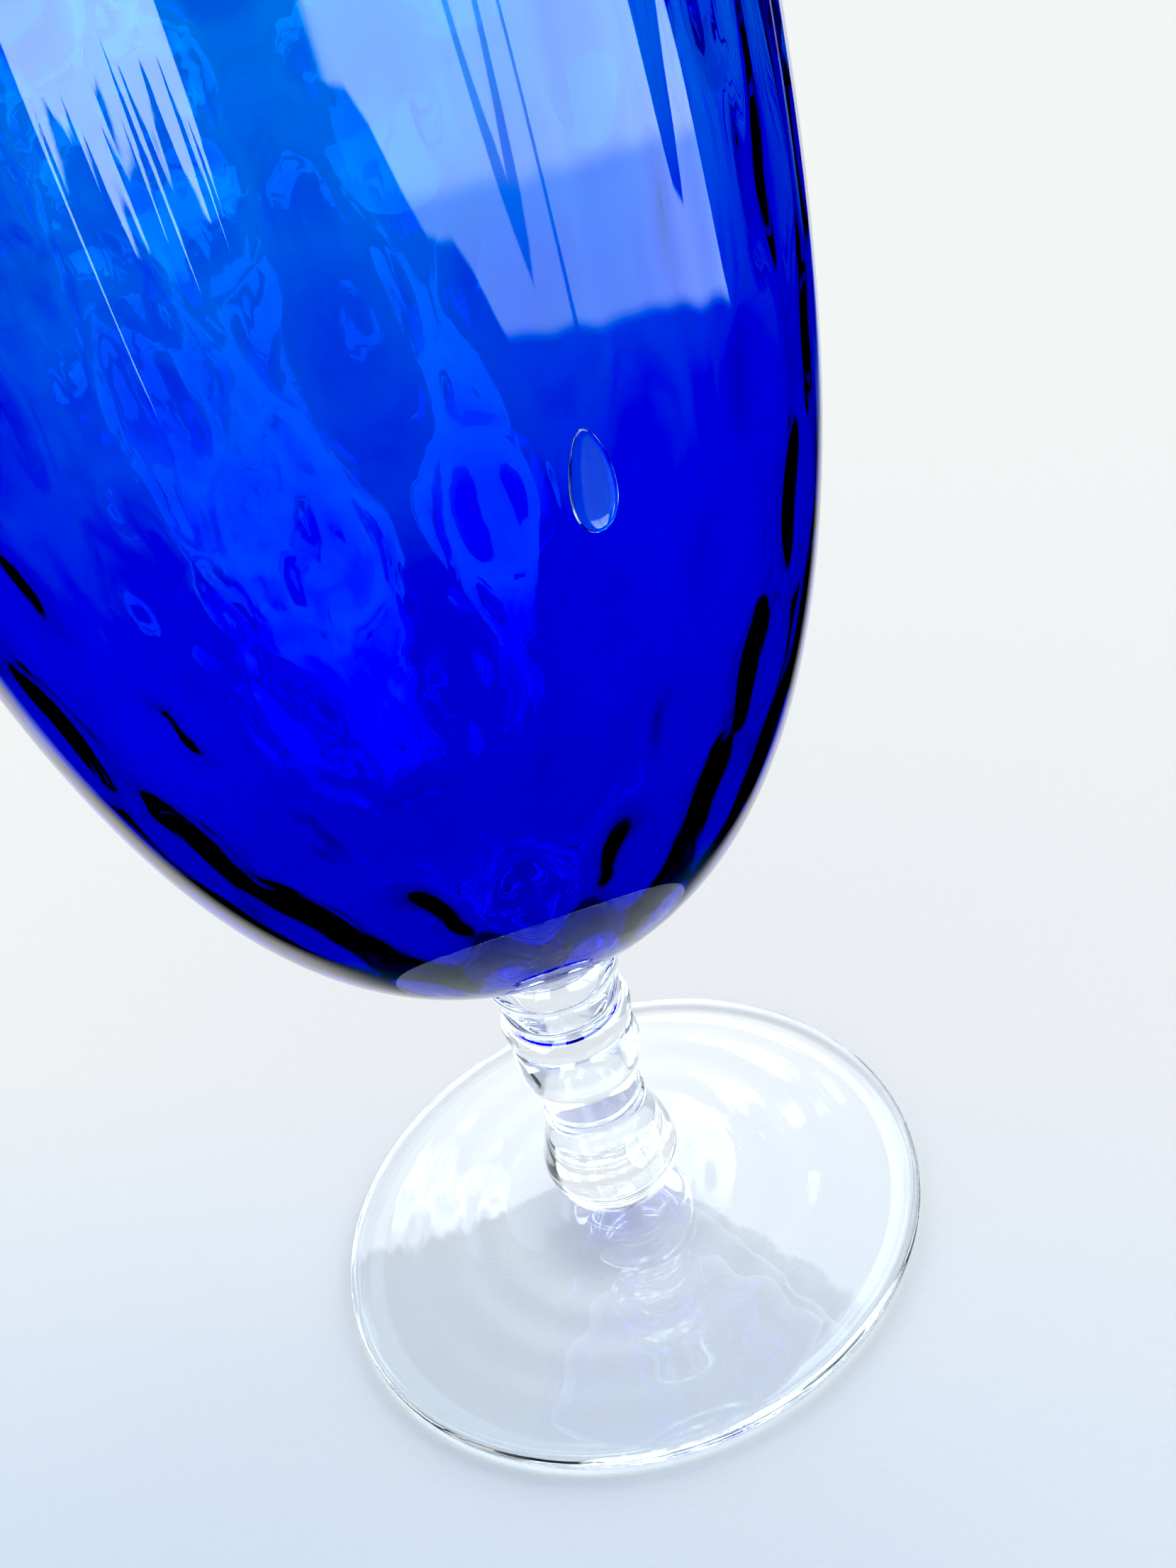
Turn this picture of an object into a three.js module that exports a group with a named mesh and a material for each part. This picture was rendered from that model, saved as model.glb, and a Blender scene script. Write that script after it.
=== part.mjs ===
// A hand-blown footed goblet: a cased cobalt-blue bowl on a short clear stem of stacked rings, a flared knop
// and a broad clear foot. Every piece is a gather of hot glass that was shaped by itself and then joined on.
// Units are millimetres, +Z is up, and the origin is on the table under the centre of the foot.

import * as THREE from 'three';

// Driving dimensions.
const SEAM = 0.3; // gap kept where two gathers meet

const FOOT_RADIUS = 42.5;
const FOOT_RIM_THICKNESS = 2.6;
const FOOT_BEARING_WIDTH = 5; // flat ring that the foot stands on
const FOOT_CROWN_RADIUS = 8.4; // flat pad in the middle of the foot that carries the knop
const FOOT_CROWN_HEIGHT = 7.7;
const FOOT_SLOPE_POWER = 1.3; // above 1, the slope steepens towards the crown
const FOOT_HOLLOW_HEIGHT = 3.2; // depth of the hollow under the foot
const FOOT_HOLLOW_MIDDLE = 0.7; // share of that depth left halfway out to the bearing ring

const KNOP_RADIUS = 9.7;
const KNOP_HEIGHT = 14.2;
const KNOP_WAIST = 0.28; // share of the knop's height where it is widest
const KNOP_SHOULDER = 0.7; // ledge that the knop leaves around the neck

const NECK_RADIUS = 6.6; // the drawn rod inside the rings
const NECK_LENGTH = 6.3; // its bare stretch between the knop and the lowest ring
const NECK_BEAD = 0.4; // small swelling at the foot of the neck
const NECK_BEAD_HEIGHT = 1.26;

const RING_SHOULDER = 1.2; // how far a ring's flat ends stand out from the neck
const RINGS = [
  { name: 'stem_ring_lower', height: 7.0, proud: 2.15 },
  { name: 'stem_ring_middle', height: 4.4, proud: 2.35 },
  { name: 'stem_ring_narrow', height: 3.4, proud: 1.7 },
  { name: 'stem_ring_upper', height: 4.7, proud: 2.6 },
];

const MERESE_HEIGHT = 4.6; // the button of glass that joins the stem to the bowl
const MERESE_RADIUS = 8.4;
const MERESE_FLARE = 1.6; // how much wider it is against the bowl
const MERESE_FLARE_POWER = 3; // the higher, the later it flares

const BOWL_RADIUS = 48.4;
const BOWL_SWELL_HEIGHT = 94.7; // from the bowl's bottom up to its widest level
const BOWL_LIP_HEIGHT = 42.9; // from the widest level up to the mouth
const BOWL_RISE_POWER = 2.22; // these two powers set how full the egg-shaped bowl is
const BOWL_FULLNESS = 2.56;

const WALL_AT_LIP = 2.6; // both layers of glass together
const WALL_AT_BOTTOM = 8;
const CAVITY_FULLNESS = 1.95; // lower than the outside's, so the wall thickens towards the bottom
const BLUE_THICKNESS = 1.2;
const LIP_STEP = 0.8; // the blue layer stops this far below the mouth

// Fineness of the facets.
const SIDES = 48;
const BOWL_STEPS = 11;
const LIP_STEPS = 4;
const BULGE_STEPS = 6;
const FOOT_SLOPE_STEPS = 4;
const KNOP_FOOT_STEPS = 3;
const KNOP_FLARE_STEPS = 6;
const MERESE_STEPS = 4;

// Heights of the joints, from the table up.
const knopBottom = FOOT_CROWN_HEIGHT + SEAM;
const knopTop = knopBottom + KNOP_HEIGHT;
const neckBottom = knopTop + SEAM;
const ringsBottom = neckBottom + NECK_LENGTH;
const ringsTop = RINGS.reduce((z, ring) => z + ring.height + SEAM, ringsBottom) - SEAM;
const mereseBottom = ringsTop + SEAM;
const bowlBottom = mereseBottom + MERESE_HEIGHT + SEAM;
const bowlWidest = bowlBottom + BOWL_SWELL_HEIGHT;
const bowlTop = bowlWidest + BOWL_LIP_HEIGHT;

const clearGlass = { color: 0xf1f6f7, roughness: 0.04, metalness: 0, transparent: true, opacity: 0.35 };
const blueGlass = { color: 0x0a2ccc, roughness: 0.04, metalness: 0, transparent: true, opacity: 0.8 };

const goblet = new THREE.Group();
goblet.name = 'footed_goblet';

// Turns an outline of [radius, height] points about the axis and adds it to the goblet.
function turned(name, outline, look) {
  const points = outline.map(([radius, height]) => new THREE.Vector2(radius, height));
  const geometry = new THREE.LatheGeometry(points, SIDES);
  geometry.rotateX(Math.PI / 2);
  const mesh = new THREE.Mesh(geometry, new THREE.MeshStandardMaterial(look));
  mesh.name = name;
  goblet.add(mesh);
}

const steps = (count) => Array.from({ length: count + 1 }, (_, i) => i / count);
const closed = (outline) => [...outline, outline[0]];

// Half an ellipse that bulges out from innerRadius to outerRadius between two heights, from the lower up.
function bulge(innerRadius, outerRadius, low, high) {
  return steps(BULGE_STEPS).map((t) => {
    const angle = Math.PI * (t - 0.5);
    const radius = innerRadius + (outerRadius - innerRadius) * Math.cos(angle);
    return [radius, (low + high) / 2 + ((high - low) / 2) * Math.sin(angle)];
  });
}

// The egg outline of the bowl from the axis up to its widest level: a superellipse, by angle.
function egg(radius, bottom, fullness) {
  return steps(BOWL_STEPS).map((t) => {
    const angle = (t * Math.PI) / 2;
    const sine = Math.sin(angle) ** 2;
    const cosine = Math.max(0, 1 - sine);
    return [radius * sine ** (1 / fullness), bowlWidest - (bowlWidest - bottom) * cosine ** (1 / BOWL_RISE_POWER)];
  });
}

// The outer radius of the bowl at a height above its widest level.
function lipRadius(height) {
  const share = (height - bowlWidest) / BOWL_SWELL_HEIGHT;
  return BOWL_RADIUS * (1 - share ** BOWL_RISE_POWER) ** (1 / BOWL_FULLNESS);
}

// The bowl's outline from the axis up to a height near the mouth, set in from the outside by a depth of glass.
function bowlOutline(depthAtLip, depthAtBottom, fullness, top) {
  const lower = egg(BOWL_RADIUS - depthAtLip, bowlBottom + depthAtBottom, fullness);
  const upper = steps(LIP_STEPS).slice(1).map((t) => {
    const height = bowlWidest + t * (top - bowlWidest);
    return [lipRadius(height) - depthAtLip, height];
  });
  return [...lower, ...upper];
}

// The height of the bowl's underside at a small radius.
function bowlUnderside(radius) {
  const sine = (radius / BOWL_RADIUS) ** BOWL_FULLNESS;
  return bowlWidest - BOWL_SWELL_HEIGHT * (1 - sine) ** (1 / BOWL_RISE_POWER);
}

function addFoot() {
  const bearingOuter = FOOT_RADIUS - FOOT_RIM_THICKNESS / 2;
  const bearingInner = bearingOuter - FOOT_BEARING_WIDTH;
  const rim = bulge(bearingOuter, FOOT_RADIUS, 0, FOOT_RIM_THICKNESS);
  const slope = steps(FOOT_SLOPE_STEPS).slice(1).map((t) => {
    const radius = bearingOuter + (FOOT_CROWN_RADIUS - bearingOuter) * t;
    return [radius, FOOT_RIM_THICKNESS + (FOOT_CROWN_HEIGHT - FOOT_RIM_THICKNESS) * t ** FOOT_SLOPE_POWER];
  });
  turned('foot_disc', [
    [0, FOOT_HOLLOW_HEIGHT],
    [bearingInner / 2, FOOT_HOLLOW_HEIGHT * FOOT_HOLLOW_MIDDLE],
    [bearingInner, 0],
    ...rim,
    ...slope,
    [0, FOOT_CROWN_HEIGHT],
  ], clearGlass);
}

function addKnop() {
  const topRadius = NECK_RADIUS + KNOP_SHOULDER;
  const waist = knopBottom + KNOP_HEIGHT * KNOP_WAIST;
  const below = steps(KNOP_FOOT_STEPS).map((t) => {
    const radius = FOOT_CROWN_RADIUS + (KNOP_RADIUS - FOOT_CROWN_RADIUS) * Math.sin((t * Math.PI) / 2);
    return [radius, knopBottom + (waist - knopBottom) * t];
  });
  const above = steps(KNOP_FLARE_STEPS).slice(1).map((t) => {
    const flare = (1 + Math.cos(t * Math.PI)) / 2;
    return [topRadius + (KNOP_RADIUS - topRadius) * flare, waist + (knopTop - waist) * t];
  });
  turned('stem_knop', [[0, knopBottom], ...below, ...above, [0, knopTop]], clearGlass);
}

function addCore() {
  const beadTop = neckBottom + NECK_BEAD_HEIGHT;
  turned('stem_core', [
    [0, neckBottom],
    ...bulge(NECK_RADIUS, NECK_RADIUS + NECK_BEAD, neckBottom, beadTop),
    [NECK_RADIUS, ringsTop],
    [0, ringsTop],
  ], clearGlass);
}

function addRings() {
  let low = ringsBottom;
  for (const ring of RINGS) {
    const high = low + ring.height;
    const bore = NECK_RADIUS + SEAM;
    const shoulder = NECK_RADIUS + RING_SHOULDER;
    turned(ring.name, closed([
      [bore, low],
      ...bulge(shoulder, NECK_RADIUS + ring.proud, low, high),
      [bore, high],
    ]), clearGlass);
    low = high + SEAM;
  }
}

function addMerese() {
  const topRadius = MERESE_RADIUS + MERESE_FLARE;
  const top = steps(MERESE_STEPS).map((t) => [topRadius * (1 - t), bowlUnderside(topRadius * (1 - t)) - SEAM]);
  const side = steps(MERESE_STEPS).map((t) => {
    const radius = MERESE_RADIUS + MERESE_FLARE * t ** MERESE_FLARE_POWER;
    return [radius, mereseBottom + (top[0][1] - mereseBottom) * t];
  });
  turned('bowl_merese', [[0, mereseBottom], ...side, ...top.slice(1)], clearGlass);
}

function addBowl() {
  const blueTop = bowlTop - LIP_STEP;
  const blueInner = bowlOutline(WALL_AT_LIP, WALL_AT_BOTTOM, CAVITY_FULLNESS, blueTop);
  const blueOuter = bowlOutline(
    WALL_AT_LIP - BLUE_THICKNESS, WALL_AT_BOTTOM - BLUE_THICKNESS, CAVITY_FULLNESS, blueTop);
  const casingInner = bowlOutline(
    WALL_AT_LIP - BLUE_THICKNESS - SEAM, WALL_AT_BOTTOM - BLUE_THICKNESS - SEAM, CAVITY_FULLNESS, bowlTop);
  const casingOuter = bowlOutline(0, 0, BOWL_FULLNESS, bowlTop);
  turned('bowl_casing', [...casingOuter, ...casingInner.reverse()], clearGlass);
  turned('bowl_blue_layer', [...blueOuter, ...blueInner.reverse()], blueGlass);
}

addFoot();
addKnop();
addCore();
addRings();
addMerese();
addBowl();

export default goblet;
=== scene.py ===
"""The looks of the footed blue goblet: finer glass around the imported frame, a pale studio and the camera."""
import math

import bmesh
import bpy
import numpy as np
from mathutils import Matrix, Vector

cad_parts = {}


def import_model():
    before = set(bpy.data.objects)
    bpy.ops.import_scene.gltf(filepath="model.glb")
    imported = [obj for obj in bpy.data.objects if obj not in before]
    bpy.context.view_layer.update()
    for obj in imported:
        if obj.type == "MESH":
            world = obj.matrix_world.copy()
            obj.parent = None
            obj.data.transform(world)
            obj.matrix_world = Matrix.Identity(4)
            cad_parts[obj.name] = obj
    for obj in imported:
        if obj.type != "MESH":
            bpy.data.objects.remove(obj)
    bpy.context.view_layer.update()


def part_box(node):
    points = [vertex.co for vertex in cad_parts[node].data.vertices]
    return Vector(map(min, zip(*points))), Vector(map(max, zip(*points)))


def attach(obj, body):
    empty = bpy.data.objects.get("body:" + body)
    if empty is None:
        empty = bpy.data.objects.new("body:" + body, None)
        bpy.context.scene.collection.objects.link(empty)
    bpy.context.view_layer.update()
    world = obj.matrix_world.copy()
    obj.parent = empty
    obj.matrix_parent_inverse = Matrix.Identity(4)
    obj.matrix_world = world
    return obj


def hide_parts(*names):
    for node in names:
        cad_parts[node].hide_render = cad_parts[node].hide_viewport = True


MM = 0.001

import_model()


# --- sizes, in metres, read from the frame --------------------------------------------------------------------------
def reach(node):
    """The largest radius of a node."""
    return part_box(node)[1].x


def low(node):
    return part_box(node)[0].z


def high(node):
    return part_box(node)[1].z


def between(lower, upper):
    """The height of the joint between two nodes that stand on each other."""
    return (high(lower) + low(upper)) / 2


RING_NODES = ("stem_ring_lower", "stem_ring_middle", "stem_ring_narrow", "stem_ring_upper")
FUSED_GAP = 0.002 * MM  # between the see-through faces of two fused pieces, so that they never lie in one plane

foot_radius = reach("foot_disc")
foot_joint = between("foot_disc", "stem_knop")
foot_rim = 2.6 * MM
foot_crown_radius = 8.4 * MM
foot_hollow = 3.2 * MM
foot_bearing = 3.6 * MM
FOOT_PLUG = 4 * MM  # radius of the nearly flat middle of the hollow
FOOT_PLUG_DROP = 0.1 * MM
FOOT_DOME = 0.35  # share of the hollow's slope that is rounded, the rest being straight
FOOT_SLOPE_POWER = 1.3  # above 1, the slope steepens towards the crown
FOOT_RIPPLE = 0.06 * MM
FOOT_RIPPLE_RATE, FOOT_RIPPLE_TIGHTENING = 22, 3  # radians over the slope, and how much faster they go further in

knop_radius = reach("stem_knop")
knop_joint = between("stem_knop", "stem_core")
neck_radius = reach("stem_core") - 0.4 * MM
ring_shoulder = neck_radius + 1.2 * MM
KNOP_TOP_STEP = 0.7 * MM  # how far the knop's top stands out of the neck
KNOP_WAIST = 0.28  # share of the knop's height below its widest level
NECK_BEAD = 0.4 * MM
NECK_BEAD_HEIGHT = 1.3 * MM

rings_low = low("stem_ring_lower") - 0.15 * MM
ring_edges = [rings_low]
ring_edges += [between(a, b) for a, b in zip(RING_NODES, RING_NODES[1:])]
ring_edges.append(between("stem_ring_upper", "bowl_merese"))
merese_radius = 8.4 * MM
merese_top_radius = reach("bowl_merese")
MERESE_FLARE_POWER = 3  # the higher, the later it flares

bowl_radius = reach("bowl_casing")
bowl_bottom = low("bowl_casing")
bowl_top = high("bowl_casing")
bowl_widest = bowl_bottom + 94.7 * MM
RISE_POWER = 2.22
FULLNESS = 2.56
wall_at_lip = 2.6 * MM
# Pairs of a height and a thickness, both in millimetres: the whole wall, and the blue in it.
WALL_PROFILE = ((54, 6.0), (65, 5.4), (80, 4.4), (100, 3.4), (125, 2.8), (150, 2.6))
BLUE_PROFILE = ((62, 4.2), (72, 3.0), (80, 2.3), (90, 1.6), (100, 1.3), (115, 1.1), (130, 0.95), (150, 0.7),
                (192, 0.5))
blue_depth = 0.15 * MM  # how far the blue lies under the inner face

# The relief that the mould leaves on the inner face: upright swellings in staggered rows, thickest in the blue.
SWELLING_COLUMNS = 20
SWELLING_ROWS = (70, 83, 96, 109.5, 124, 138.5, 153, 167.5, 182)  # heights in millimetres
SWELLING_DEPTH = 0.5 * MM
SWELLING_WIDTH = 3.4 * MM
SWELLING_HEIGHT = 5.6 * MM
SWELLING_FLATNESS = 1.4
CASED_SHARE = 0.6  # how much of the inner relief the outer face of the blue follows

# One flat pocket of air in the clear glass.
BUBBLE_ANGLE = math.radians(-71.3)
BUBBLE_HEIGHT = 123.3 * MM
BUBBLE_DEPTH = 1.2 * MM
BUBBLE_SIZE = (2.1 * MM, 4.4 * MM, 0.28 * MM)

SIDES = 360
INNER_STEPS = 112
OUTER_STEPS = 56
SHARP_ANGLE = 40  # degrees between two faces that meet in an edge


# --- outlines, as lists of (radius, height) -------------------------------------------------------------------------
def steps(count):
    return [i / count for i in range(count + 1)]


def bulge(inner, outer, bottom, top, count=24, power=1.0):
    """A round swelling between two heights, from the lower up."""
    points = []
    for t in steps(count):
        angle = math.pi * (t - 0.5)
        radius = inner + (outer - inner) * max(0.0, math.cos(angle)) ** power
        points.append((radius, (bottom + top) / 2 + (top - bottom) / 2 * math.sin(angle)))
    return points


def egg(radius, bottom, fullness, count):
    points = []
    for t in steps(count):
        angle = t * math.pi / 2
        sine = math.sin(angle) ** 2
        cosine = max(0.0, 1 - sine)
        points.append((radius * sine ** (1 / fullness),
                       bowl_widest - (bowl_widest - bottom) * cosine ** (1 / RISE_POWER)))
    return points


def lip_radius(height):
    share = (height - bowl_widest) / (bowl_widest - bowl_bottom)
    return bowl_radius * (1 - max(0.0, share) ** RISE_POWER) ** (1 / FULLNESS)


def bowl_outline(top, lower, upper):
    """The outer outline of the bowl, from the axis up to a height near the mouth."""
    points = egg(bowl_radius, bowl_bottom, FULLNESS, lower)
    for t in steps(upper)[1:]:
        height = bowl_widest + t * (top - bowl_widest)
        points.append((lip_radius(height), height))
    return points


def offset(outline, profile, outwards):
    """An outline moved square to itself by the depth that the profile gives for each height, out or in."""
    heights, depths = zip(*profile)
    moved = []
    for i, (radius, height) in enumerate(outline):
        depth = float(np.interp(height / MM, heights, depths)) * MM * (1 if outwards else -1)
        if height > bowl_widest:
            moved.append((radius + depth, height))
            continue
        (r0, z0), (r1, z1) = outline[max(i - 1, 0)], outline[min(i + 1, len(outline) - 1)]
        length = math.hypot(r1 - r0, z1 - z0)
        if radius > 0:
            radius += depth * (z1 - z0) / length
            height -= depth * (r1 - r0) / length
        else:
            height -= depth
        moved.append((radius, height))
    return moved


def underside(radius):
    """The height of the bowl's outer face at a small radius."""
    sine = (radius / bowl_radius) ** FULLNESS
    return bowl_widest - (bowl_widest - bowl_bottom) * (1 - sine) ** (1 / RISE_POWER)


def smooth_step(low_edge, high_edge, value):
    t = min(1.0, max(0.0, (value - low_edge) / (high_edge - low_edge)))
    return t * t * (3 - 2 * t)


def waves(angle, height, terms):
    """A sum of slow sine waves round the bowl. Each term is (waves round, radians per metre up, phase, share)."""
    return sum(share * np.sin(count * angle + rise * height + phase) for count, rise, phase, share in terms)


UNEVEN = ((3, 40, 0.3, 0.5), (5, -70, 1.9, 0.35), (8, 110, 4.4, 0.25), (13, -160, 2.2, 0.15), (21, 230, 5.1, 0.1))
RIBS = ((20, 12, 0.8, 0.35), (40, -25, 2.9, 0.35), (31, 18, 1.1, 0.3), (57, -14, 3.8, 0.5), (83, 9, 0.3, 0.35))
FLUTES = ((20, 10, 0.2, 0.6), (40, -8, 1.7, 0.4), (27, 22, 4.1, 0.35), (53, -30, 2.6, 0.25))
FOLDS = ((4, 95, 0.4, 0.6), (7, -150, 2.1, 0.6), (12, 210, 4.0, 0.45), (19, -330, 1.0, 0.3), (33, 520, 5.2, 0.2),
         (57, -900, 2.5, 0.12))
SMALL_FOLDS = ((9, -260, 3.3, 0.6), (15, 410, 0.9, 0.55), (26, -620, 5.8, 0.4), (43, 1050, 1.6, 0.25))
UNEVEN_LEAN = 0.02  # radians that the swellings stray sideways
UNEVEN_DEPTH = 0.05 * MM
FOLD_DEPTH, FOLD_WIDTH = 0.2 * MM, 0.2  # the width is in units of the waves' sum
SMALL_FOLD_DEPTH, SMALL_FOLD_WIDTH = 0.12 * MM, 0.25
FLUTE_DEPTH = 0.11 * MM
RIB_DEPTH = 0.12 * MM
RIB_CREST = 1.8  # about as high as the ribs' waves reach, so that the ribs cut in and hardly stand out
SMOOTH_SIDE = math.radians(-87)  # the front, where the outer face has hardly any ribs
SMOOTH_SHARE, SMOOTH_WIDTH, SMOOTH_POWER = 0.8, 0.22, 4
FRONT_FOLDS = math.radians(-108)  # the front left and the back left, where the gather folded most as it was blown
BACK_FOLDS = math.radians(122)
FRONT_FOLDS_WIDTH, BACK_FOLDS_WIDTH = 0.4, 0.6  # radians
SWELLING_REACH = 3  # half-heights beyond which a swelling is too faint to count


def towards(angle, side, width, power=2):
    """1 where the angle points at a side, falling away over a width in radians."""
    return np.exp(-(np.abs((angle - side + math.pi) % (2 * math.pi) - math.pi) / width) ** power)


def swellings(angle, height):
    """How far the inner face lies outside its smooth shape. A swelling stands into the bowl, so it counts below 0."""
    relief = np.zeros_like(angle)
    around = 2 * math.pi / SWELLING_COLUMNS
    girth = bowl_radius * (1 - max(0.0, (bowl_widest - height) / (bowl_widest - bowl_bottom)) ** RISE_POWER)
    girth = bowl_radius * (girth / bowl_radius) ** (1 / FULLNESS)
    lean = UNEVEN_LEAN * waves(angle, height, UNEVEN)
    for row, level in enumerate(SWELLING_ROWS):
        up = (height - level * MM) / SWELLING_HEIGHT
        if abs(up) > SWELLING_REACH:
            continue
        phase = 0.5 * around * ((row + 1) % 2)
        across = (angle - phase + lean + around / 2) % around - around / 2
        wide = across * girth / SWELLING_WIDTH
        relief -= SWELLING_DEPTH * np.exp(-((wide ** 2 + up ** 2) ** SWELLING_FLATNESS))
    relief -= UNEVEN_DEPTH * waves(angle, height, UNEVEN)
    folded = towards(angle, FRONT_FOLDS, FRONT_FOLDS_WIDTH) * smooth_step(84 * MM, 104 * MM, height)
    folded += towards(angle, BACK_FOLDS, BACK_FOLDS_WIDTH) * smooth_step(60 * MM, 68 * MM, height)
    crease = FOLD_DEPTH * np.exp(-(waves(angle, height, FOLDS) / FOLD_WIDTH) ** 2)
    crease += SMALL_FOLD_DEPTH * np.exp(-(waves(angle, height, SMALL_FOLDS) / SMALL_FOLD_WIDTH) ** 2)
    relief -= folded * crease
    relief -= FLUTE_DEPTH * smooth_step(120 * MM, 152 * MM, height) * waves(angle, height, FLUTES)
    fade = smooth_step(bowl_bottom + 9 * MM, bowl_bottom + 20 * MM, height)
    fade *= 1 - smooth_step(bowl_top - 12 * MM, bowl_top - 3 * MM, height)
    return relief * fade


def ribs(angle, height):
    """The faint upright ribs of the outer face, which die out towards its bottom and its lip."""
    fade = smooth_step(108 * MM, 160 * MM, height) * (1 - smooth_step(bowl_top - 10 * MM, bowl_top - 2 * MM, height))
    plain = SMOOTH_SHARE * towards(angle, SMOOTH_SIDE, SMOOTH_WIDTH, SMOOTH_POWER)
    return RIB_DEPTH * fade * (1 - plain) * (waves(angle, height, RIBS) - RIB_CREST)


# --- meshes ---------------------------------------------------------------------------------------------------------
def turn(name, outline, slots, relief=None, sides=SIDES):
    """A closed mesh turned about the axis. outline goes from the axis to the axis, or closes on itself. slots gives
    the material slot of each stretch between two points. relief moves a row outwards, by its index, angles and
    height."""
    loop = outline[0][0] > 0
    angles = 2 * math.pi * np.arange(sides) / sides
    rings, rows, count = [], [], 0
    for index, (radius, height) in enumerate(outline):
        if radius <= 1e-9:
            rings.append(np.array([[0.0, 0.0, height]]))
            rows.append([count])
            count += 1
            continue
        r = radius + (relief(index, angles, height) if relief else 0.0)
        rings.append(np.stack([r * np.cos(angles), r * np.sin(angles), np.full(sides, height)], axis=1))
        rows.append(range(count, count + sides))
        count += sides
    faces, marks = [], []
    pairs = list(zip(rows, rows[1:]))
    if loop:
        pairs.append((rows[-1], rows[0]))
    for (a, b), slot in zip(pairs, slots):
        for k in range(sides):
            j = (k + 1) % sides
            if len(a) == 1:
                face = (a[0], b[j], b[k])
            elif len(b) == 1:
                face = (a[k], a[j], b[0])
            else:
                face = (a[k], a[j], b[j], b[k])
            faces.append(face)
            marks.append(slot)
    mesh = bpy.data.meshes.new(name)
    mesh.from_pydata(np.concatenate(rings).tolist(), [], faces)
    mesh.validate()
    mesh.polygons.foreach_set("material_index", marks)
    mesh.shade_smooth()
    mesh.set_sharp_from_angle(angle=math.radians(SHARP_ANGLE))
    piece = bpy.data.objects.new(name, mesh)
    bpy.context.scene.collection.objects.link(piece)
    return piece


def blow_bubble(piece, angle, height, depth, size):
    """Adds a flat pocket of air inside the glass of a piece: a closed shell whose faces look inwards."""
    wide, tall, thick = size
    radius = lip_radius(height) if height > bowl_widest else outer_radius(height)
    out = Vector((math.cos(angle), math.sin(angle), 0))
    centre = out * (radius - depth) + Vector((0, 0, height))
    tilt = math.atan2(outer_radius(height + MM) - outer_radius(height - MM), 2 * MM)
    side = Vector((-out.y, out.x, 0))
    up = Vector((0, 0, 1)) * math.cos(tilt) + out * math.sin(tilt)
    work = bmesh.new()
    work.from_mesh(piece.data)
    made = bmesh.ops.create_uvsphere(work, u_segments=32, v_segments=20, radius=1)["verts"]
    for vert in made:
        x, y, z = vert.co
        slim = 1 - 0.25 * z
        vert.co = centre + side * x * wide * slim + side.cross(up) * y * thick * slim + up * z * tall
    faces = {face for vert in made for face in vert.link_faces}
    bmesh.ops.recalc_face_normals(work, faces=list(faces))
    bmesh.ops.reverse_faces(work, faces=list(faces))
    for face in faces:
        face.smooth = True
    work.to_mesh(piece.data)
    work.free()


def outer_radius(height):
    """The bowl's outer radius below its widest level."""
    share = (bowl_widest - height) / (bowl_widest - bowl_bottom)
    return bowl_radius * (1 - max(0.0, share) ** RISE_POWER) ** (1 / FULLNESS)


def add(piece, node, slot, *materials):
    for material in materials:
        piece.data.materials.append(material)
    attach(piece, "root")
    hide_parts(node)
    return piece


# --- materials ------------------------------------------------------------------------------------------------------
def principled(name, **values):
    material = bpy.data.materials.new(name)
    material.use_nodes = True
    shader = material.node_tree.nodes["Principled BSDF"]
    for key, value in values.items():
        shader.inputs[key.replace("_", " ")].default_value = value
    return material, shader


def clear_glass():
    return principled("clear_glass", Base_Color=(0.975, 0.99, 0.995, 1), Roughness=0.0, IOR=1.5,
                      Transmission_Weight=1.0)[0]


def casing_glass():
    return principled("casing_glass", Base_Color=(0.97, 0.985, 1.0, 1), Roughness=0.0, IOR=1.5,
                      Transmission_Weight=1.0)[0]


BLUE_DENSITY = 6000
BLUE_KEPT = (0.0, 0.82, 0.99, 1)


def blue_glass():
    material = principled("blue_glass", Base_Color=(1, 1, 1, 1), Roughness=0.0, IOR=1.0, Transmission_Weight=1.0)[0]
    nodes, links = material.node_tree.nodes, material.node_tree.links
    absorption = nodes.new("ShaderNodeVolumeAbsorption")
    absorption.inputs["Color"].default_value = BLUE_KEPT
    absorption.inputs["Density"].default_value = BLUE_DENSITY
    links.new(absorption.outputs["Volume"], nodes["Material Output"].inputs["Volume"])
    return material


def fused():
    """The faces where two gathers have melted into each other: nothing is seen there."""
    material = bpy.data.materials.new("fused_joint")
    material.use_nodes = True
    nodes, links = material.node_tree.nodes, material.node_tree.links
    nodes.remove(nodes["Principled BSDF"])
    clear = nodes.new("ShaderNodeBsdfTransparent")
    links.new(clear.outputs["BSDF"], nodes["Material Output"].inputs["Surface"])
    return material


CLEAR = clear_glass()
CASING = casing_glass()
BLUE = blue_glass()
FUSED = fused()
SKIN, JOINT = 0, 1


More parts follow.
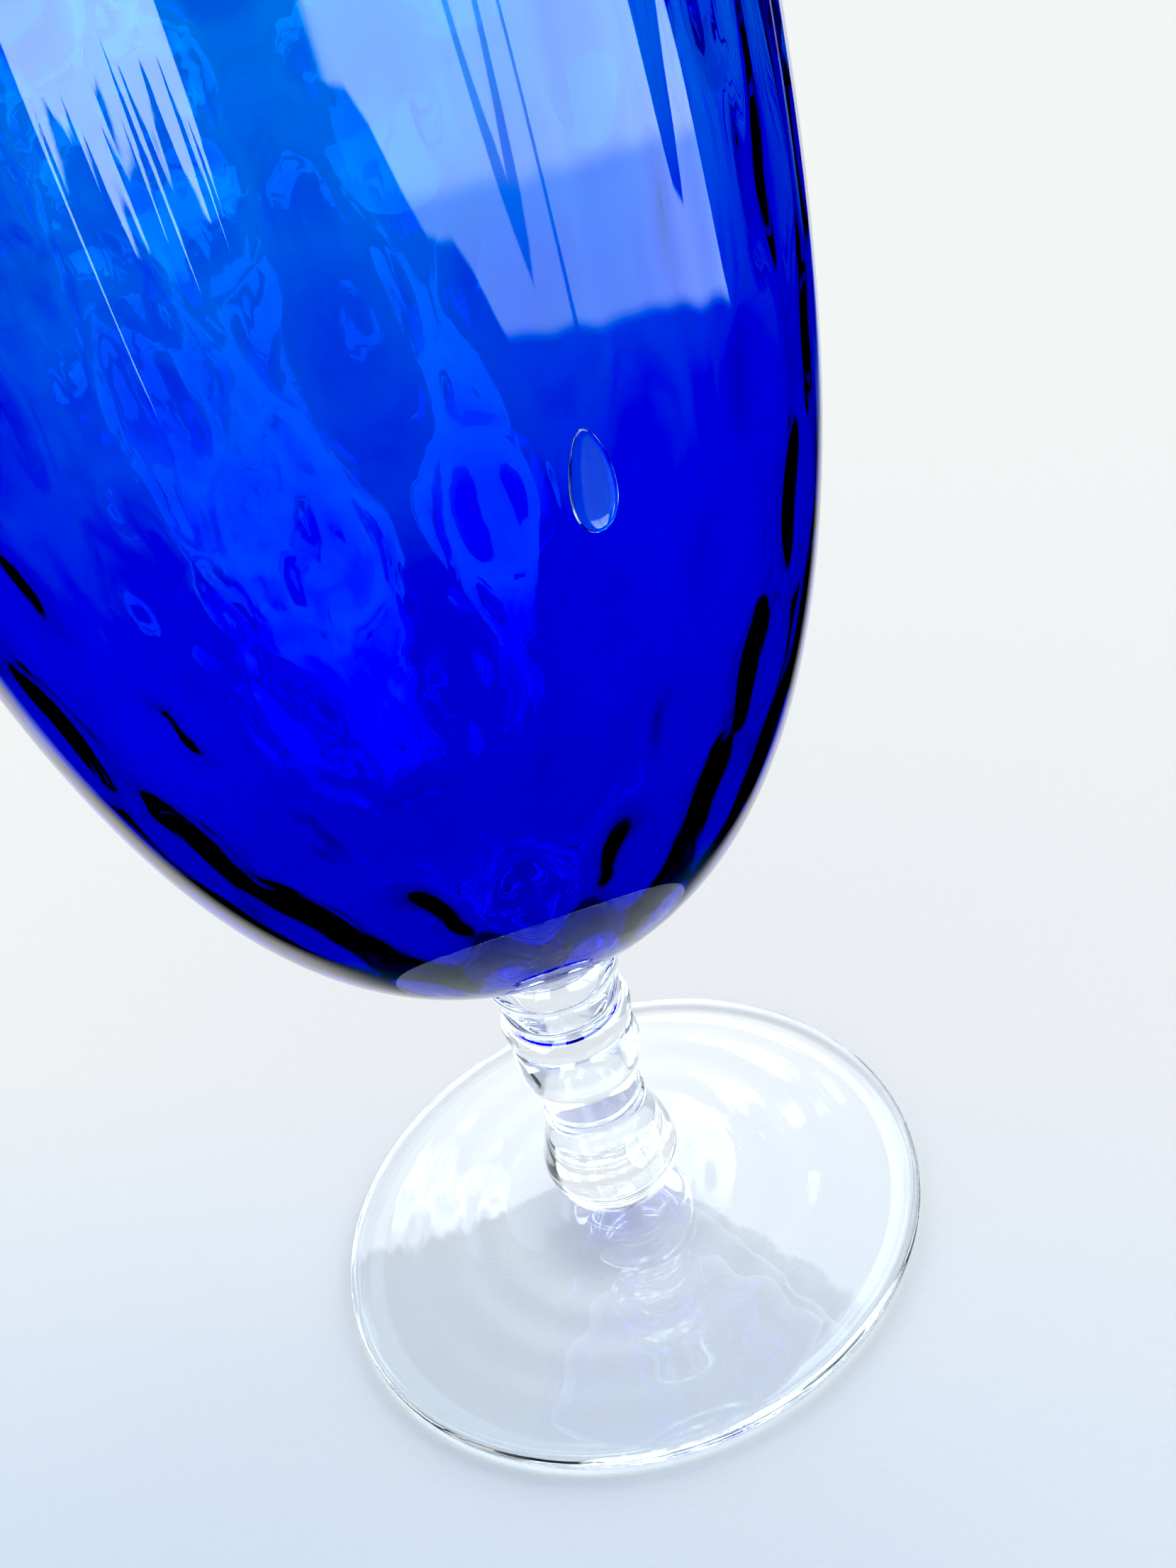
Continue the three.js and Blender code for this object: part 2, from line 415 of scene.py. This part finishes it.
# --- pieces ---------------------------------------------------------------------------------------------------------
def foot():
    bearing_outer = foot_radius - foot_rim / 2
    bearing_inner = bearing_outer - foot_bearing
    top = foot_joint - FUSED_GAP
    outline = [(0.0, foot_hollow), (FOOT_PLUG, foot_hollow - FOOT_PLUG_DROP)]
    for t in steps(30)[1:]:
        radius = FOOT_PLUG + (bearing_inner - FOOT_PLUG) * t
        fall = smooth_step(0, 1, t) * FOOT_DOME + t * (1 - FOOT_DOME)
        outline.append((radius, (foot_hollow - FOOT_PLUG_DROP) * (1 - fall)))
    outline += bulge(bearing_outer, foot_radius, 0, foot_rim, 20)
    for t in steps(80)[1:]:
        radius = bearing_outer + (foot_crown_radius - bearing_outer) * t
        rise = foot_rim + (top - foot_rim) * t ** FOOT_SLOPE_POWER
        wave = FOOT_RIPPLE * math.sin(t * FOOT_RIPPLE_RATE + FOOT_RIPPLE_TIGHTENING * t * t)
        wave *= smooth_step(0.04, 0.25, t) * (1 - smooth_step(0.7, 1, t))
        outline.append((radius, rise + wave))
    slots = [SKIN] * (len(outline) - 1) + [JOINT]
    outline.append((0.0, top))
    add(turn("foot", outline, slots), "foot_disc", "clear_glass", CLEAR, FUSED)


def knop():
    bottom, top = foot_joint + FUSED_GAP, knop_joint - FUSED_GAP
    top_radius = neck_radius + KNOP_TOP_STEP
    waist = bottom + (top - bottom) * KNOP_WAIST
    outline = [(0.0, bottom)]
    for t in steps(16):
        radius = foot_crown_radius + (knop_radius - foot_crown_radius) * math.sin(t * math.pi / 2)
        outline.append((radius, bottom + (waist - bottom) * t))
    for t in steps(40)[1:]:
        flare = (1 + math.cos(t * math.pi)) / 2
        outline.append((top_radius + (knop_radius - top_radius) * flare, waist + (top - waist) * t))
    outline.append((0.0, top))
    slots = [JOINT] + [SKIN] * (len(outline) - 3) + [JOINT]
    add(turn("knop", outline, slots), "stem_knop", "clear_glass", CLEAR, FUSED)


def core():
    bottom, top = knop_joint + FUSED_GAP, ring_edges[-1] - FUSED_GAP
    bead_top = bottom + NECK_BEAD_HEIGHT
    neck = [(neck_radius + KNOP_TOP_STEP, bottom)]
    neck += bulge(neck_radius, neck_radius + NECK_BEAD, bottom + 0.1 * MM, bead_top)
    neck += [(neck_radius, ring_edges[0])]
    outline = [(0.0, bottom)] + neck + [(neck_radius, top), (0.0, top)]
    slots = [JOINT] + [SKIN] * (len(neck) - 1) + [JOINT, JOINT]
    add(turn("core", outline, slots), "stem_core", "clear_glass", CLEAR, FUSED)


def rings():
    for node, lower, upper in zip(RING_NODES, ring_edges, ring_edges[1:]):
        lower, upper = lower + FUSED_GAP, upper - FUSED_GAP
        bore = neck_radius + FUSED_GAP
        side = bulge(ring_shoulder, reach(node), lower, upper, 32)
        outline = [(bore, lower)] + side + [(bore, upper)]
        slots = [JOINT] + [SKIN] * (len(side) - 1) + [JOINT, JOINT]
        if node == RING_NODES[0]:
            slots[0] = SKIN
        add(turn(node.replace("stem_", ""), outline, slots), node, "clear_glass", CLEAR, FUSED)


def merese():
    bottom = ring_edges[-1] + FUSED_GAP
    top_radius = merese_top_radius
    top = [(top_radius * (1 - t), underside(top_radius * (1 - t)) - FUSED_GAP) for t in steps(16)]
    side = []
    for t in steps(20):
        radius = merese_radius + (top_radius - merese_radius) * t ** MERESE_FLARE_POWER
        side.append((radius, bottom + (top[0][1] - bottom) * t))
    outline = [(0.0, bottom)] + side + top[1:]
    slots = [JOINT] + [SKIN] * (len(side) - 1) + [JOINT] * (len(top) - 1)
    add(turn("merese", outline, slots), "bowl_merese", "clear_glass", CLEAR, FUSED)


def bowl():
    lip = wall_at_lip / 2
    under = [(merese_top_radius * t, underside(merese_top_radius * t)) for t in steps(8)]
    outer = bowl_outline(bowl_top - lip, OUTER_STEPS, OUTER_STEPS // 2)
    outer = [p for p in outer if p[0] > merese_top_radius * 1.02]
    inner = offset(bowl_outline(bowl_top - lip, INNER_STEPS, INNER_STEPS // 2), WALL_PROFILE, False)
    centre = (outer[-1][0] + inner[-1][0]) / 2
    half = (outer[-1][0] - inner[-1][0]) / 2
    rim = [(centre + half * math.cos(t * math.pi), bowl_top - lip + lip * math.sin(t * math.pi)) for t in steps(10)]
    outline = under + outer + rim[1:-1] + inner[::-1]
    slots = [JOINT] * (len(under) - 1) + [SKIN] * (len(outline) - len(under))
    first_inner = len(outline) - len(inner)
    last_outer = len(under) + len(outer)

    def relief(index, angles, height):
        if index >= first_inner:
            return swellings(angles, height)
        return ribs(angles, height) if index < last_outer else np.zeros_like(angles)

    casing = add(turn("casing", outline, slots, relief), "bowl_casing", "clear_glass", CASING, FUSED)
    blow_bubble(casing, BUBBLE_ANGLE, BUBBLE_HEIGHT, BUBBLE_DEPTH, BUBBLE_SIZE)

    blue_top = bowl_top - 2 * MM
    wall_to_blue = [(height, depth - blue_depth / MM) for height, depth in WALL_PROFILE]
    blue_inner = offset(bowl_outline(blue_top, INNER_STEPS, INNER_STEPS // 2), wall_to_blue, False)
    blue_outer = offset(blue_inner, BLUE_PROFILE, True)[::2] + [blue_inner[-1]]
    shell = blue_outer[:-1] + blue_inner[::-1]
    first = len(blue_outer) - 1

    def blue_relief(index, angles, height):
        return swellings(angles, height) * (1.0 if index >= first else CASED_SHARE)

    add(turn("blue_layer", shell, [SKIN] * (len(shell) - 1), blue_relief), "bowl_blue_layer", "blue_glass", BLUE)


foot()
knop()
core()
rings()
merese()
bowl()


# --- studio ---------------------------------------------------------------------------------------------------------
# Painted shade on the paper: its colour turns deeper and bluer towards the near left, partly in place of real shade.
NEAR_PAPER_PAINTED_SHADE = (0.50, 0.585, 0.645, 1)
FAR_PAPER = (0.605, 0.625, 0.62, 1)
PAPER_SHADE_SLOPE = (0.5, 1, 0)  # the way over the table along which the painted shade fades, from the deeper paper to the paler
PAPER_SHADE_DEEPEST, PAPER_SHADE_PALEST = -0.075, 0.03  # metres that way, where the painted shade is deepest and where it has faded out
TOOTH_SCALE = 1500
TOOTH_STRENGTH, TOOTH_HEIGHT = 0.12, 0.0004
FLOOR_HALF, FLOOR_BELOW = 6.0, 0.0001

# The light. Angles are in degrees: an azimuth goes from +X towards +Y, and an elevation goes up from the table.
DARK = (0.05, 0.055, 0.06)
DARK_SIDES = (-175, 58)
PALE_WALL, PALE_WALL_TOP = (0.84, 0.86, 0.88), 16
CEILING, CEILING_FROM = (0.3, 0.33, 0.38), 60
PALE = (0.88, 0.9, 0.92)
REAR, REAR_TOP = (58, 132), 3
UNDER, UNDER_TO = (0.2, 0.25, 0.32), -52
RAGGED_SCALE, RAGGED_DETAIL, RAGGED_REACH = 7, 6, 14.0

BACK_WINDOW, BACK_SILL = (36, 132), 12
BACK_TOP, BACK_TOP_SLOPE = 80, 0.35
BACK_MIRRORED = (2.9, 3.0, 3.1)
BACK_SHADE, BACK_BRIGHT, BACK_BRIGHT_FROM = (1.0, 1.15, 1.3), (4.4, 5.6, 6.4), 0.54
BACK_EDGE, BACK_DARK = 58, (0.06, 0.065, 0.07)  # seen through the glass, the window is dark short of this azimuth

LEFT_WINDOW, LEFT_LOW, LEFT_TOP = (-129, -106), -3, 50
LEFT_LIGHT = (8.0, 9.6, 10.4)
STREAKS, STREAK_SHIFT, STREAK_REACH = 0.3, 0.02, 60.0

FRONT_WINDOW, FRONT_HEIGHTS = (-77, -13), (-17, 56)
FRONT_SLANT_BELOW, FRONT_SLANT = -1.0, -1.333
MULLION, MULLION_LEAN, MULLION_SHADE = (-47, -43), 0.25, 0.7
FRONT_SILL, FRONT_TREES = -8, 14
BELOW_SILL, ABOVE_SILL, ABOVE_TREES = (3.2, 4.3, 4.5), (6.0, 7.8, 8.0), (9.0, 11.0, 11.6)

SOFT, SOFT_ABOVE, SOFT_ABOVE_FROM = (1.3, 1.3, 1.3), (0.8, 0.8, 0.8), 50
SOFT_BOX, SOFT_BOX_SIDES, SOFT_BOX_HEIGHTS = (3.6, 3.6, 3.6), (0, 110), (10, 50)


def paper():
    """White paper with a fine tooth. Its colour carries painted shade: it is cooler and deeper in the near left than
    far off, on top of the real shade from the soft light.
    """
    material, shader = principled("paper", Roughness=0.9, Specular_IOR_Level=0.0)
    nodes, links = material.node_tree.nodes, material.node_tree.links
    place = nodes.new("ShaderNodeTexCoord").outputs["Object"]
    slope = nodes.new("ShaderNodeVectorMath")
    slope.operation = "DOT_PRODUCT"
    slope.inputs[1].default_value = PAPER_SHADE_SLOPE
    links.new(place, slope.inputs[0])
    # Painted shade: this ramp makes the paper deeper and cooler towards the near left.
    ramp = nodes.new("ShaderNodeValToRGB")
    ramp.color_ramp.elements[0].color = NEAR_PAPER_PAINTED_SHADE
    ramp.color_ramp.elements[1].color = FAR_PAPER
    spread = nodes.new("ShaderNodeMapRange")
    spread.inputs["From Min"].default_value = PAPER_SHADE_DEEPEST
    spread.inputs["From Max"].default_value = PAPER_SHADE_PALEST
    links.new(slope.outputs["Value"], spread.inputs["Value"])
    links.new(spread.outputs["Result"], ramp.inputs["Fac"])
    links.new(ramp.outputs["Color"], shader.inputs["Base Color"])
    tooth = nodes.new("ShaderNodeTexNoise")
    tooth.inputs["Scale"].default_value = TOOTH_SCALE
    tooth.inputs["Detail"].default_value = 3
    links.new(place, tooth.inputs["Vector"])
    bump = nodes.new("ShaderNodeBump")
    bump.inputs["Strength"].default_value = TOOTH_STRENGTH
    bump.inputs["Distance"].default_value = TOOTH_HEIGHT
    links.new(tooth.outputs["Fac"], bump.inputs["Height"])
    links.new(bump.outputs["Normal"], shader.inputs["Normal"])
    return material


def floor():
    """A wide white sheet of paper."""
    corners = [(-1, -1), (1, -1), (1, 1), (-1, 1)]
    mesh = bpy.data.meshes.new("paper")
    mesh.from_pydata([(x * FLOOR_HALF, y * FLOOR_HALF, -FLOOR_BELOW) for x, y in corners], [], [(0, 1, 2, 3)])
    sheet = bpy.data.objects.new("paper", mesh)
    bpy.context.scene.collection.objects.link(sheet)
    mesh.materials.append(paper())
    sheet.visible_glossy = False  # what the glass mirrors below the horizon comes from the world, like the windows


class Sky:
    """Builds the world's brightness from numbers and sockets of its node tree."""

    def __init__(self, tree):
        self.tree = tree

    def maths(self, operation, a, b=0.0):
        node = self.tree.nodes.new("ShaderNodeMath")
        node.operation = operation
        for socket, value in zip(node.inputs, (a, b)):
            if isinstance(value, (int, float)):
                socket.default_value = value
            else:
                self.tree.links.new(value, socket)
        return node.outputs[0]

    def band(self, value, start, end, soft=1.0):
        """1 between start and end, and 0 outside them, with soft edges."""
        rise = self.step(value, start, soft)
        fall = self.step(value, end, soft)
        return self.maths("SUBTRACT", rise, fall)

    def step(self, value, edge, soft=1.0):
        node = self.tree.nodes.new("ShaderNodeMapRange")
        node.interpolation_type = "SMOOTHSTEP"
        self.tree.links.new(value, node.inputs["Value"])
        node.inputs["From Min"].default_value = edge - soft / 2
        node.inputs["From Max"].default_value = edge + soft / 2
        return node.outputs["Result"]

    def noise(self, where, scale, detail):
        node = self.tree.nodes.new("ShaderNodeTexNoise")
        node.inputs["Scale"].default_value = scale
        node.inputs["Detail"].default_value = detail
        self.tree.links.new(where, node.inputs["Vector"])
        return node.outputs["Fac"]

    def both(self, a, b):
        return self.maths("MULTIPLY", a, b)

    def mix(self, share, a, b):
        """a where share is 0, b where it is 1; a and b are numbers, colours or sockets."""
        node = self.tree.nodes.new("ShaderNodeMix")
        node.data_type = "RGBA"
        self.tree.links.new(share, node.inputs["Factor"])
        for socket, value in ((node.inputs[6], a), (node.inputs[7], b)):
            if isinstance(value, tuple):
                socket.default_value = (*value, 1)
            else:
                self.tree.links.new(value, socket)
        return node.outputs[2]


def world():
    scene = bpy.context.scene
    scene.world = bpy.data.worlds.new("studio")
    scene.world.use_nodes = True
    tree = scene.world.node_tree
    sky = Sky(tree)
    where = tree.nodes.new("ShaderNodeTexCoord").outputs["Generated"]
    axes = tree.nodes.new("ShaderNodeSeparateXYZ")
    tree.links.new(where, axes.inputs[0])
    degrees = 180 / math.pi
    azimuth = sky.both(sky.maths("ARCTAN2", axes.outputs["Y"], axes.outputs["X"]), degrees)
    elevation = sky.both(sky.maths("ARCSINE", axes.outputs["Z"]), degrees)

    def outside(share):
        return sky.maths("SUBTRACT", 1.0, share)

    ragged = sky.noise(where, RAGGED_SCALE, RAGGED_DETAIL)
    height = sky.maths("ADD", elevation, sky.both(sky.maths("SUBTRACT", ragged, 0.5), RAGGED_REACH))

    # The room that the glass shows. Through the glass, the low walls behind are pale.
    path = tree.nodes.new("ShaderNodeLightPath")
    through = path.outputs["Is Transmission Ray"]
    pale = sky.both(outside(sky.band(azimuth, *DARK_SIDES, 8)), outside(sky.step(elevation, PALE_WALL_TOP, 4)))
    colour = sky.mix(through, DARK, sky.mix(pale, DARK, PALE_WALL))
    colour = sky.mix(sky.step(elevation, CEILING_FROM, 10), colour, CEILING)
    colour = sky.mix(sky.both(sky.band(azimuth, *REAR, 12), outside(sky.step(elevation, REAR_TOP, 4))), colour, PALE)
    colour = sky.mix(outside(sky.step(elevation, UNDER_TO, 14)), colour, UNDER)

    # The back window.
    top = sky.maths("ADD", height, sky.both(azimuth, BACK_TOP_SLOPE))
    back = sky.both(sky.step(elevation, BACK_SILL, 3), outside(sky.step(top, BACK_TOP, 2)))
    back = sky.both(sky.band(azimuth, *BACK_WINDOW, 4), back)
    seen = sky.mix(sky.step(ragged, BACK_BRIGHT_FROM, 0.07), BACK_SHADE, BACK_BRIGHT)
    seen = sky.mix(sky.step(azimuth, BACK_EDGE, 4), BACK_DARK, seen)
    colour = sky.mix(back, colour, sky.mix(through, BACK_MIRRORED, seen))

    # The left window, whose lower end is drawn out in streaks.
    columns = tree.nodes.new("ShaderNodeCombineXYZ")
    tree.links.new(sky.both(azimuth, STREAKS), columns.inputs["X"])
    tree.links.new(sky.both(elevation, STREAK_SHIFT), columns.inputs["Y"])
    streaks = sky.noise(columns.outputs["Vector"], 1, 3)
    ends = sky.maths("ADD", height, sky.both(sky.maths("SUBTRACT", streaks, 0.5), STREAK_REACH))
    left = sky.both(sky.band(azimuth, *LEFT_WINDOW, 1.5), sky.step(ends, LEFT_LOW, 2))
    left = sky.both(left, outside(sky.step(elevation, LEFT_TOP, 2)))
    colour = sky.mix(left, colour, LEFT_LIGHT)

    # The front window, with its left edge slanted below, one mullion, a sill and a line of trees.
    slant = sky.maths("MAXIMUM", sky.maths("SUBTRACT", FRONT_SLANT_BELOW, elevation), 0.0)
    edge = sky.maths("ADD", azimuth, sky.both(slant, FRONT_SLANT))
    window = sky.both(sky.band(edge, *FRONT_WINDOW, 1.5), sky.band(elevation, *FRONT_HEIGHTS, 1.5))
    mullion = sky.band(sky.maths("ADD", azimuth, sky.both(elevation, MULLION_LEAN)), *MULLION, 1)
    window = sky.both(window, outside(sky.both(mullion, MULLION_SHADE)))
    panes = sky.mix(sky.step(elevation, FRONT_SILL, 1.5), BELOW_SILL, ABOVE_SILL)
    panes = sky.mix(sky.step(height, FRONT_TREES, 3), panes, ABOVE_TREES)
    colour = sky.mix(window, colour, panes)

    # What lights the paper is a soft light instead, strongest low at the back right.
    soft = sky.mix(sky.step(elevation, SOFT_ABOVE_FROM, 20), SOFT, SOFT_ABOVE)
    box = sky.both(sky.band(azimuth, *SOFT_BOX_SIDES, 30), sky.band(elevation, *SOFT_BOX_HEIGHTS, 10))
    soft = sky.mix(box, soft, SOFT_BOX)
    lights_paper = sky.maths("MINIMUM", path.outputs["Diffuse Depth"], 1.0)
    shows = sky.both(sky.maths("MAXIMUM", path.outputs["Is Glossy Ray"], through), outside(lights_paper))
    colour = sky.mix(shows, soft, colour)
    colour = sky.mix(path.outputs["Is Camera Ray"], colour, PALE)
    background = tree.nodes["Background"]
    tree.links.new(colour, background.inputs["Color"])
    background.inputs["Strength"].default_value = 1.0


LENS = 43.65  # for a sensor 36 mm wide
SENSOR = 36
NEAREST = 0.001  # the bowl is only 0.1 m from the camera, nearer than Blender shows by itself
HEADING, PITCH, ROLL = -4.291, 30.668, -16.097  # degrees
EYE = (0, -151.18, 160.76)  # millimetres


def camera():
    """The view of a phone held close over the goblet, a little to one side, and turned."""
    data = bpy.data.cameras.new("camera")
    data.sensor_fit = "HORIZONTAL"
    data.sensor_width = SENSOR
    data.lens = LENS
    data.clip_start = NEAREST
    eye = bpy.data.objects.new("camera", data)
    bpy.context.scene.collection.objects.link(eye)
    bpy.context.scene.camera = eye
    heading, pitch, roll = math.radians(HEADING), math.radians(PITCH), math.radians(ROLL)
    turn_z = Matrix.Rotation(heading, 3, "Z")
    look = turn_z @ Vector((0, math.cos(pitch), -math.sin(pitch)))
    level = turn_z @ Vector((1, 0, 0))
    up = level.cross(look)
    right = math.cos(roll) * level + math.sin(roll) * up
    top = -math.sin(roll) * level + math.cos(roll) * up
    basis = Matrix((right, top, -look)).transposed().to_4x4()
    eye.matrix_world = Matrix.Translation(Vector(EYE) * MM) @ basis


floor()
world()
camera()

BLACK_LEVEL = 0.045
BOUNCES = 40

scene = bpy.context.scene
scene.view_settings.view_transform = "Standard"
scene.view_settings.use_curve_mapping = True
scene.view_settings.curve_mapping.black_level = (BLACK_LEVEL, BLACK_LEVEL, BLACK_LEVEL)
scene.view_settings.curve_mapping.update()
scene.cycles.max_bounces = BOUNCES
scene.cycles.transmission_bounces = BOUNCES
scene.cycles.glossy_bounces = 24
scene.cycles.transparent_max_bounces = BOUNCES
scene.cycles.use_denoising = True
scene.cycles.blur_glossy = 0  # otherwise the paper seen through the foot turns grey
